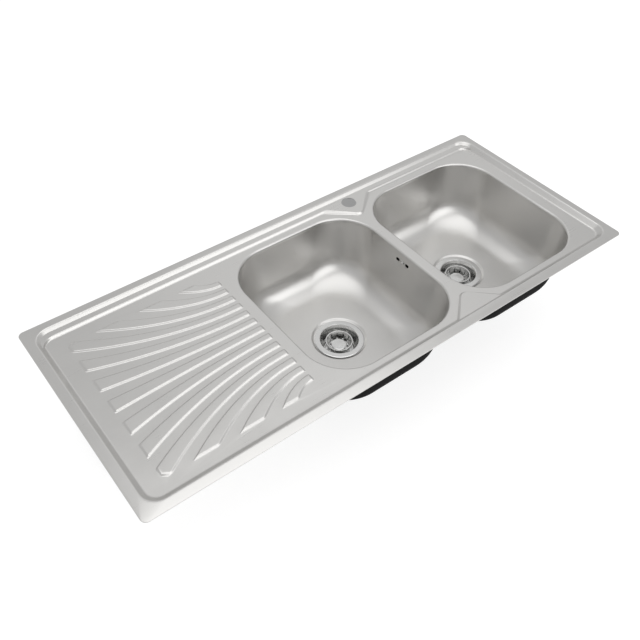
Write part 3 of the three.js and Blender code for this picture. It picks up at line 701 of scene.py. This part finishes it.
def make_deck():
    """The whole deck in one sheet: rim, tap ledge, islands, mouths and ribs."""
    s = sizes()
    half_x, half_y = s.length / 2, s.width / 2
    deck = -s.deck_depth

    # The rim and the flat of the deck, as the top of a closed block.
    obj = blank("deck_sheet")
    below = add_ring(half_x, half_y, RIM_CORNER, BLOCK_FOOT, keep_face=True)
    for inset, level, radius in RIM_PROFILE:
        if level > 0:
            height = level * MM * s.rim_height / (CREST_LEVEL * MM)
        else:
            height = level * MM * deck / (DECK_LEVEL * MM)
        ring = add_ring(half_x - inset * MM, half_y - inset * MM, radius * MM, height,
                        keep_face=level == DECK_LEVEL)
        bridge(below, ring)
        below = ring
    finish_edit()
    tidy(obj)

    # The tap ledge and the islands join the block, and the tap hole goes through it.
    for name, outline in (("ledge", ledge_outline), ("front_island", front_island_outline)):
        shape = raised_block(name, outline)
        modify(obj, "BOOLEAN", object=shape, operation="UNION", solver="EXACT")
        bpy.data.objects.remove(shape)
    cut(obj, rod("tap_hole", TAP_HOLE_RADIUS, 100 * MM, (ISLANDS_X, TAP_HOLE_Y, 0), 64))

    # Only the skin of the top stays, and its flat part makes room for the ribs and the mouths.
    edit(obj)
    near = 0.1 * MM

    def unwanted(face):
        centre = face.calc_center_median()
        flat = face.normal.z > 0.99 and abs(centre.z - deck) < 0.1 * near
        from_hole = math.hypot(centre.x - ISLANDS_X, centre.y - TAP_HOLE_Y)
        hole_wall = from_hole < TAP_HOLE_RADIUS + near and abs(face.normal.z) < 0.1
        outer_wall = centre.z < 0 and all(
            inset_at(v.co, half_x, half_y, RIM_CORNER) < 2 * near for v in face.verts)
        return centre.z < deck - near or flat or hole_wall or outer_wall

    select("FACE", unwanted)
    bpy.ops.mesh.delete(type="FACE")

    # The mouths: a quarter round from the deck, and a collar down to the bowl's weld.
    for centre_x in BOWL_CENTRES.values():
        above = None
        steps = 8
        for step in range(steps + 1):
            angle = math.pi / 2 * step / steps
            out = s.mouth_radius * (1 - math.sin(angle))
            ring = add_ring(
                BOWL_LENGTH / 2 + out, BOWL_WIDTH / 2 + out, BOWL_CORNER + out,
                deck - s.mouth_radius * (1 - math.cos(angle)), (centre_x, BOWL_Y), s.bowl_steps)
            if above:
                bridge(above, ring)
            above = ring
        collar = add_ring(BOWL_LENGTH / 2, BOWL_WIDTH / 2, BOWL_CORNER, seam_height(),
                          (centre_x, BOWL_Y), s.bowl_steps)
        bridge(above, collar)
    finish_edit()

    # The ribs join in, and one fill closes the flat between all these edges.
    obj = joined([obj] + [make_rib(number) for number in range(RIB_COUNT)])
    edit(obj)

    def open_at_deck(edge):
        return len(edge.link_faces) < 2 and all(abs(v.co.z - deck) < SLIVER for v in edge.verts)

    select("EDGE", open_at_deck)
    bpy.ops.mesh.fill(use_beauty=True)
    finish_edit()
    face_up(obj, SLIVER)
    modify(obj, "SOLIDIFY", thickness=s.sheet, offset=-1.0)
    smooth(obj, 28)
    return obj


class SINK_OT_deck(bpy.types.Operator):
    """Press the deck: rim, recess, tap ledge, islands, drainer ribs and mouths"""

    bl_idname = "sink.deck"
    bl_label = "Deck"

    def execute(self, context):
        hand_over(make_deck(), satin_sheet(), "sink", "deck_steel", "sink_deck")
        return {"FINISHED"}


# ---- Bowls and their coats ----

SEAT_DROP = 3 * MM
SEAT_RADIUS = 63 * MM
# Steps of the seat from its edge inwards, as (width, rise) in millimetres. The last is the flat.
SEAT_STEPS = ((1.2, -0.25), (1.4, -0.9), (1.4, -1.15), (1.2, -0.6), (1, -0.1), (11.8, 0))
COAT_GAP = 0.1 * MM
COAT_THICKNESS = 1.6 * MM
COAT_TOP = -22 * MM
COAT_HOLE_RADIUS = 66 * MM
COAT_WINDOW = (64 * MM, 33 * MM, 12 * MM)


def seam_height():
    """Where a bowl is welded to the collar of its mouth."""
    return -(sizes().deck_depth + sizes().mouth_radius + MOUTH_COLLAR)


def bowl_skin(name, centre_x, offset, top, seat_radius):
    """Inner skin of a bowl, from its top edge to the edge of its seat, drawn out by an offset."""
    fillet_top = -BOWL_DEPTH + BOWL_FLOOR_RADIUS
    radius = BOWL_FLOOR_RADIUS + offset
    wall = (seam_height() - fillet_top) * BOWL_TAPER - offset
    levels = [((seam_height() - top) * BOWL_TAPER - offset, top)]
    steps = 12
    for step in range(steps + 1):
        angle = math.pi / 2 * step / steps
        levels.append((wall + radius * (1 - math.cos(angle)),
                       fillet_top - radius * math.sin(angle)))
    obj = blank(name)
    above = None
    for inset, z in levels:
        ring = add_ring(BOWL_LENGTH / 2 - inset, BOWL_WIDTH / 2 - inset, BOWL_CORNER + offset, z,
                        (centre_x, BOWL_Y), sizes().bowl_steps)
        if above:
            bridge(above, ring)
        above = ring

    bpy.ops.mesh.select_mode(type="VERT")
    bpy.ops.mesh.select_all(action="DESELECT")
    bpy.ops.mesh.primitive_circle_add(
        vertices=len(above), radius=seat_radius, fill_type="NGON",
        location=(centre_x, BOWL_Y, -BOWL_DEPTH - SEAT_DROP - offset))
    bm = bmesh.from_edit_mesh(obj.data)
    seat_edge = {v.co.to_tuple(6) for v in bm.verts if v.select}
    return obj, above, seat_edge


def make_bowl(side, centre_x):
    """A drawn bowl: tapered walls, a rounded floor and the stepped seat of the waste."""
    obj, floor_edge, seat_edge = bowl_skin(
        side + "_bowl_shell", centre_x, 0, seam_height(), SEAT_RADIUS)
    bpy.ops.mesh.select_mode(type="FACE")
    for width, rise in SEAT_STEPS:
        bpy.ops.mesh.inset(thickness=width * MM, depth=rise * MM)
    bpy.ops.mesh.delete(type="ONLY_FACE")
    bridge(floor_edge, seat_edge, number_cuts=4)
    finish_edit()
    face_up(obj)
    modify(obj, "SOLIDIFY", thickness=sizes().sheet, offset=-1.0)
    if side == "left":
        cut(obj, *overflow_slots())
        edit(obj)
        slots_centre, around_slots, under_seam = Vector(OVERFLOW), 32 * MM, -20 * MM

        def slot_edge(edge):
            if len(edge.link_faces) != 2 or edge.calc_face_angle(0) < math.radians(50):
                return False
            return all((v.co - slots_centre).length < around_slots and v.co.z < under_seam
                       for v in edge.verts)

        select("EDGE", slot_edge)
        bpy.ops.mesh.bevel(offset=0.35 * MM, segments=2, affect="EDGES", clamp_overlap=True)
        finish_edit()
    smooth(obj, 28)
    return obj


def make_coat(side, centre_x):
    """The coat on the outside of a bowl, open round the waste and the overflow."""
    obj, floor_edge, seat_edge = bowl_skin(
        side + "_sound_coat", centre_x, sizes().sheet + COAT_GAP, COAT_TOP, COAT_HOLE_RADIUS)
    bpy.ops.mesh.delete(type="ONLY_FACE")
    bridge(floor_edge, seat_edge, number_cuts=2)
    finish_edit()
    face_up(obj)
    modify(obj, "SOLIDIFY", thickness=COAT_THICKNESS, offset=-1.0)
    if side == "left":
        cut(obj, on_wall(oblong("coat_window", *COAT_WINDOW)))
    soften(obj, 0.5 * MM, 50)
    smooth(obj, 28)
    return obj


# ---- Overflow ----

SLOT_PITCH = 14.5 * MM
SLOT_LENGTH = 11 * MM
SLOT_HEIGHTS = (7.5 * MM, 5 * MM, 7.5 * MM)
SLOT_CUT = 8 * MM
# Below the worktop: the weld of the bowl, as seam_height has it, and the middle of the slots.
SEAM_DROP = 16 * MM
OVERFLOW_DROP = 31 * MM
OVERFLOW = (
    BOWL_CENTRES["left"] + BOWL_LENGTH / 2 - (OVERFLOW_DROP - SEAM_DROP) * BOWL_TAPER,
    BOWL_Y,
    -OVERFLOW_DROP,
)


def oblong(name, length, height, depth):
    """A slot cutter along Y with round ends, centred on the origin."""
    obj = blank(name)
    corner = height / 2 * 0.999    # a hair under half, so that no two points meet
    add_ring(height / 2, length / 2, corner, -depth / 2, steps=10, keep_face=True)
    bpy.ops.mesh.select_mode(type="FACE")
    bpy.ops.mesh.select_all(action="SELECT")
    bpy.ops.mesh.extrude_region_move(TRANSFORM_OT_translate={"value": (0, 0, depth)})
    finish_edit()
    tidy(obj)
    return obj


def on_wall(obj, along=0.0):
    """Turns a piece that is drawn with +Z out of the bowl, and sets it on the left bowl's wall."""
    place = Matrix.Translation(Vector(OVERFLOW))
    turn = Matrix.Rotation(math.radians(90 + BOWL_TAPER_DEGREES), 4, "Y")
    activate(obj)
    obj.matrix_world = place @ turn @ Matrix.Translation((0, along, 0))
    bpy.ops.object.transform_apply(location=True, rotation=True, scale=True)
    return obj


def overflow_slots():
    """Cutters for the three slots in the left bowl's wall."""
    return [on_wall(oblong("slot", SLOT_LENGTH, height, SLOT_CUT), place * SLOT_PITCH)
            for place, height in enumerate(SLOT_HEIGHTS, -1)]


class SINK_OT_bowls(bpy.types.Operator):
    """Draw both bowls, with the overflow slots in the left one"""

    bl_idname = "sink.bowls"
    bl_label = "Bowls"

    def execute(self, context):
        material = drawn_sheet()
        for side, centre_x in BOWL_CENTRES.items():
            hand_over(make_bowl(side, centre_x), material, "sink", "bowl_steel", side + "_bowl")
        return {"FINISHED"}


class SINK_OT_coats(bpy.types.Operator):
    """Spray the sound-deadening coats on the outside of the bowls"""

    bl_idname = "sink.coats"
    bl_label = "Coats"

    def execute(self, context):
        material = bitumen_coat()
        for side, centre_x in BOWL_CENTRES.items():
            hand_over(make_coat(side, centre_x), material, "sink", "sound_coat",
                      side + "_bowl_coat")
        return {"FINISHED"}


class SINK_OT_overflow(bpy.types.Operator):
    """Finish the overflow's gasket, housing and screw"""

    bl_idname = "sink.overflow"
    bl_label = "Overflow"

    def execute(self, context):
        hand_over(softened_copy("overflow_gasket", 0.2 * MM), nitrile_rubber(), "sink",
                  "gasket_rubber", "overflow_gasket")
        hand_over(softened_copy("overflow_housing", 0.4 * MM), black_polypropylene(), "sink",
                  "black_plastic", "overflow_housing")
        hand_over(softened_copy("overflow_screw", 0.15 * MM), polished_steel(), "sink",
                  "screw_steel", "overflow_screw")
        return {"FINISHED"}


# ---- Wastes ----

# Heights of the two floors in millimetres, as in the profiles.
CUP_FLOOR = -202
BASKET_FLOOR = -197.3
# Holes and slots, each with how many there are and how far they stand from the axis.
SCREW_HOLE_RADIUS = 3.3 * MM
DRAIN_HOLES, DRAIN_HOLE_RADIUS, DRAIN_HOLE_REACH = 6, 6 * MM, 14 * MM
WALL_SLOTS, WALL_SLOT, WALL_SLOT_REACH = 12, (10 * MM, 3 * MM, 17 * MM), 28.3 * MM
WALL_SLOT_HEIGHT = -185.7 * MM
FLOOR_HOLES, FLOOR_HOLE_RADIUS, FLOOR_HOLE_REACH = 8, 2.2 * MM, 20.5 * MM
FLOOR_HOLE_HEIGHT = -198 * MM


def around(centre_x, reach, angle, z):
    """A place that stands off from the axis of a waste, at an angle about it."""
    return centre_x + reach * math.cos(angle), BOWL_Y + reach * math.sin(angle), z


def make_cup(side, centre_x):
    """Strainer cup: rolled flange, cone, straight wall and a floor with drain holes."""
    centre = (centre_x, BOWL_Y)
    profile = [
        (0, CUP_FLOOR), (31.5, CUP_FLOOR), (33.6, -201), (34.5, -199), (34.5, -187), (35.2, -185.4),
        (41, -172.6), (42.3, -170), (42.9, -168.2), (44, -167.2), (46, -167), (53.5, -167),
        (55.2, -167.3), (56, -167.9), (55.4, -168), (45.2, -168), (43.6, -169.4), (41.8, -173),
        (36.2, -185.8), (35.5, -187.4), (35.5, -199.2), (34.2, -201.9), (31.8, -203.2),
        (0, -203.2),
    ]
    obj = turned(side + "_cup", profile, centre)
    merge_flats(obj, 0.5)
    floor_z = CUP_FLOOR * MM
    through = 8 * MM
    screw_hole = rod("screw_hole", SCREW_HOLE_RADIUS, through, (*centre, floor_z))
    drain_holes = []
    for angle in [number * math.pi / (DRAIN_HOLES / 2) for number in range(DRAIN_HOLES)]:
        place = around(centre_x, DRAIN_HOLE_REACH, angle, floor_z)
        drain_holes.append(rod("drain_hole", DRAIN_HOLE_RADIUS, through, place))
    cut(obj, joined(drain_holes), screw_hole)
    smooth(obj, 35)
    return obj


def make_basket(side, centre_x):
    """Strainer basket: rolled lip, slotted wall and a floor with small holes."""
    centre = (centre_x, BOWL_Y)
    profile = [
        (0, -198.2), (23.8, -198.2), (25.4, -197.6), (26, -196.2), (28.2, -175.6), (29, -174.6),
        (30.2, -174.3), (30.5, -173.7), (30.3, -173.1), (29.6, -172.9), (28.2, -173.2),
        (27.3, -174.3), (25.2, -195.6), (24.6, -196.8), (23.4, BASKET_FLOOR), (0, BASKET_FLOOR),
    ]
    obj = turned(side + "_strainer_basket", profile, centre)
    slots = []
    for angle in [number * math.pi / (WALL_SLOTS / 2) for number in range(WALL_SLOTS)]:
        place = around(centre_x, WALL_SLOT_REACH, angle, WALL_SLOT_HEIGHT)
        slots.append(block("wall_slot", WALL_SLOT, place, angle))
    holes = []
    for angle in [(number + 0.5) * math.pi / (FLOOR_HOLES / 2) for number in range(FLOOR_HOLES)]:
        place = around(centre_x, FLOOR_HOLE_REACH, angle, FLOOR_HOLE_HEIGHT)
        holes.append(rod("floor_hole", FLOOR_HOLE_RADIUS, 6 * MM, place, 20))
    cut(obj, joined(slots), joined(holes))
    smooth(obj, 35)
    return obj


def make_knob(side, centre_x):
    """Knob of the basket: a stem and a shallow dished head with a rolled edge."""
    base = BASKET_FLOOR
    profile = [
        (0, base), (6, base), (5.2, base + 0.8), (4.5, base + 2.2), (4.5, base + 7.6),
        (5.2, base + 8.6), (14.5, base + 9.0), (16.4, base + 9.8), (17, base + 10.8),
        (16.6, base + 11.8), (15.4, base + 12.3), (13.6, base + 12.2), (8, base + 12.5),
        (0, base + 13.3),
    ]
    obj = turned(side + "_knob", profile, (centre_x, BOWL_Y), 64)
    smooth(obj, 40)
    return obj


class SINK_OT_wastes(bpy.types.Operator):
    """Turn the cups, bodies, gaskets and screws of both wastes"""

    bl_idname = "sink.wastes"
    bl_label = "Wastes"

    def execute(self, context):
        bright, rubber = polished_steel(), nitrile_rubber()
        for side, x in BOWL_CENTRES.items():
            hand_over(make_cup(side, x), bright, "sink", "polished_steel", side + "_strainer_cup")
            for part in ("flange_gasket", "lower_gasket"):
                node = f"{side}_{part}"
                hand_over(softened_copy(node, 0.2 * MM), rubber, "sink", "gasket_rubber", node)
            node = side + "_waste_screw"
            hand_over(softened_copy(node, 0.2 * MM), bright, "sink", "screw_steel", node)
            node = side + "_waste_body"
            hand_over(softened_copy(node, 0.4 * MM), white_polypropylene(), "sink",
                      "white_plastic", node)
        return {"FINISHED"}


class SINK_OT_baskets(bpy.types.Operator):
    """Make both strainer baskets with their seals and knobs"""

    bl_idname = "sink.baskets"
    bl_label = "Baskets"

    def execute(self, context):
        bright = polished_steel()
        for side, x in BOWL_CENTRES.items():
            body = side + "_basket_unit"
            hand_over(make_basket(side, x), bright, body, "polished_steel", side + "_basket")
            hand_over(make_knob(side, x), bright, body, "polished_steel", side + "_basket_knob")
            node = side + "_basket_seal"
            hand_over(softened_copy(node, 0.5 * MM), nitrile_rubber(), body, "gasket_rubber", node)
        return {"FINISHED"}


# ---- Rim seal and clips ----

class SINK_OT_fixings(bpy.types.Operator):
    """Finish the foam strip and the eight fixing clips"""

    bl_idname = "sink.fixings"
    bl_label = "Fixings"

    def execute(self, context):
        hand_over(softened_copy("rim_seal", 0.3 * MM), cell_foam(), "sink", "seal_foam", "rim_seal")
        zinc = zinc_plate()
        for side in ("front", "back"):
            for number in range(1, 5):
                clip = f"{side}_clip_{number}"
                hand_over(softened_copy(clip + "_bracket", 0.35 * MM), zinc, "sink", "clip_steel",
                          clip + "_bracket")
                hand_over(softened_copy(clip + "_claw", 0.35 * MM), zinc, clip + "_claw_body",
                          "clip_steel", clip + "_claw")
                hand_over(softened_copy(clip + "_screw", 0.25 * MM), zinc, clip + "_screw_body",
                          "clip_steel", clip + "_screw")
        return {"FINISHED"}


# ---- Stage ----

# Name, place, width and height in metres, and brightness of each soft panel.
LAMPS = (
    ("overhead_panel", (0, 0, 3.4), (3.6, 3.0), 0.85),
    ("front_panel", (0.6, -3.0, 2.4), (5, 2.4), 1.1),
    ("back_panel", (2.0, 2.4, 2.6), (3, 2), 0.19),
)
AIR_BRIGHTNESS = 0.62
# The photo's viewpoint, solved from the four edges of the rim.
CAMERA_PLACE = (-0.75772, -0.86356, 1.06907)
CAMERA_TURN = (43.9622, -1.2905, -37.6282)
CAMERA_LENS = 42.44
# A painted shadow on the floor: the rectangle where the floor isn't lifted, with its centre, and
# how far it reaches each way, to the outside and to the inside of its soft edge.
PAINTED_SHADOW_CENTRE = (0, 0.27, 0)
PAINTED_SHADOW_REACH = (("X", 0.58, 0.42), ("Y", 0.245, 0.2))
FLOOR_LIFT = 0.75
SHADOW_GREY = (0.42, 0.42, 0.42, 1)


def white_floor():
    """Matt white studio floor. For the camera and the steel it is lifted to plain white, and the
    sink's own shadow stays on it. A painted shadow darkens it in a fixed soft rectangle behind the
    sink, where the lift fades out: it is placed where the front lamp's shadow of the sink falls,
    which is also the floor seen through the tap hole."""
    material = new_material("matt_white_floor")
    tree = material.node_tree
    matt = add_node(tree, "ShaderNodeBsdfDiffuse", {"Color": linear(colours().floor)})
    place = add_node(tree, "ShaderNodeTexCoord")
    offset = add_node(tree, "ShaderNodeVectorMath", {"operation": "SUBTRACT", 1: PAINTED_SHADOW_CENTRE},
                      {0: place.outputs["Object"]})
    distance = add_node(tree, "ShaderNodeVectorMath", {"operation": "ABSOLUTE"},
                        {0: offset.outputs[0]})
    sides = add_node(tree, "ShaderNodeSeparateXYZ", None, {0: distance.outputs[0]})
    along, across = [
        add_node(tree, "ShaderNodeMapRange",
                 {"interpolation_type": "SMOOTHSTEP", "From Min": outer, "From Max": inner},
                 {"Value": sides.outputs[axis]})
        for axis, outer, inner in PAINTED_SHADOW_REACH]
    # Painted shadow mask: 1 inside the soft rectangle behind the sink, where the lift to white
    # fades out.
    shade = add_node(tree, "ShaderNodeMath", {"operation": "MULTIPLY"},
                     {0: along.outputs["Result"], 1: across.outputs["Result"]})
    lift = add_node(tree, "ShaderNodeMapRange", {"To Min": FLOOR_LIFT, "To Max": 0.0},
                    {"Value": shade.outputs[0]})
    plain = add_node(tree, "ShaderNodeEmission", {"Color": (1, 1, 1, 1)},
                     {"Strength": lift.outputs["Result"]})
    shadow = add_node(tree, "ShaderNodeBsdfDiffuse", {"Color": SHADOW_GREY})
    white = add_node(tree, "ShaderNodeAddShader", None, {0: plain.outputs[0], 1: shadow.outputs[0]})
    path = add_node(tree, "ShaderNodeLightPath")
    seen = add_node(tree, "ShaderNodeMath", {"operation": "MAXIMUM"},
                    {0: path.outputs["Is Camera Ray"], 1: path.outputs["Is Glossy Ray"]})
    seen = add_node(tree, "ShaderNodeMath", {"operation": "MAXIMUM"},
                    {0: seen.outputs[0], 1: path.outputs["Is Transmission Ray"]})
    mixed = add_node(tree, "ShaderNodeMixShader", None,
                     {0: seen.outputs[0], 1: matt.outputs[0], 2: white.outputs[0]})
    add_node(tree, "ShaderNodeOutputMaterial", None, {"Surface": mixed.outputs[0]})
    return material


def add_lamp(name, place, size, brightness):
    """A soft panel that faces the sink. Its brightness is the same whatever its size."""
    deselect()
    bpy.ops.object.light_add(type="AREA", location=place)
    lamp = bpy.context.object
    lamp.name = name
    lamp.data.shape = "RECTANGLE"
    lamp.data.size, lamp.data.size_y = size
    lamp.data.energy = brightness * math.pi * size[0] * size[1]
    lamp.rotation_euler = Vector(place).to_track_quat("Z", "Y").to_euler()


class SINK_OT_stage(bpy.types.Operator):
    """Set the floor, the light and the camera"""

    bl_idname = "sink.stage"
    bl_label = "Stage"

    def execute(self, context):
        scene = context.scene
        deselect()
        bpy.ops.mesh.primitive_plane_add(size=24, location=(0, 0, cad_box[0][2]))
        floor = context.object
        floor.name = "studio_floor"
        floor.data.materials.append(white_floor())

        for lamp in LAMPS:
            add_lamp(*lamp)

        world = bpy.data.worlds.new("studio_air")
        scene.world = world
        world.use_nodes = True
        tree = world.node_tree
        tree.nodes.clear()
        air = add_node(tree, "ShaderNodeBackground",
                       {"Color": (1, 1, 1, 1), "Strength": AIR_BRIGHTNESS})
        add_node(tree, "ShaderNodeOutputWorld", None, {"Surface": air.outputs[0]})

        deselect()
        bpy.ops.object.camera_add(location=CAMERA_PLACE)
        camera = context.object
        camera.name = "photo_camera"
        camera.rotation_euler = Euler([math.radians(angle) for angle in CAMERA_TURN], "XYZ")
        camera.data.sensor_width = 36
        camera.data.lens = CAMERA_LENS
        camera.data.clip_start = 0.01
        scene.camera = camera
        scene.view_settings.view_transform = "Standard"
        return {"FINISHED"}


# ---- Panel and registration ----

class SINK_PT_panel(bpy.types.Panel):
    """Sizes, colours and pieces of the sink"""

    bl_idname = "SINK_PT_panel"
    bl_label = "Double bowl sink"
    bl_space_type = "VIEW_3D"
    bl_region_type = "UI"
    bl_category = "Sink"

    def draw(self, context):
        for group in (context.scene.sink_sizes, context.scene.sink_colours):
            box = self.layout.box()
            for name in group.__annotations__:
                box.prop(group, name)
        for operator in OPERATORS:
            self.layout.operator(operator.bl_idname)


OPERATORS = (SINK_OT_stage, SINK_OT_deck, SINK_OT_bowls, SINK_OT_coats, SINK_OT_overflow,
             SINK_OT_wastes, SINK_OT_baskets, SINK_OT_fixings)
CLASSES = (SinkSizes, SinkColours, *OPERATORS, SINK_PT_panel)


def register():
    for item in CLASSES:
        bpy.utils.register_class(item)
    bpy.types.Scene.sink_sizes = PointerProperty(type=SinkSizes)
    bpy.types.Scene.sink_colours = PointerProperty(type=SinkColours)


def unregister():
    del bpy.types.Scene.sink_sizes
    del bpy.types.Scene.sink_colours
    for item in reversed(CLASSES):
        bpy.utils.unregister_class(item)


def main():
    """Registers the classes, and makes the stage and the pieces."""
    register()
    bpy.ops.sink.stage()
    bpy.ops.sink.deck()
    bpy.ops.sink.bowls()
    bpy.ops.sink.coats()
    bpy.ops.sink.overflow()
    bpy.ops.sink.wastes()
    bpy.ops.sink.baskets()
    bpy.ops.sink.fixings()


if __name__ == "__main__":
    main()
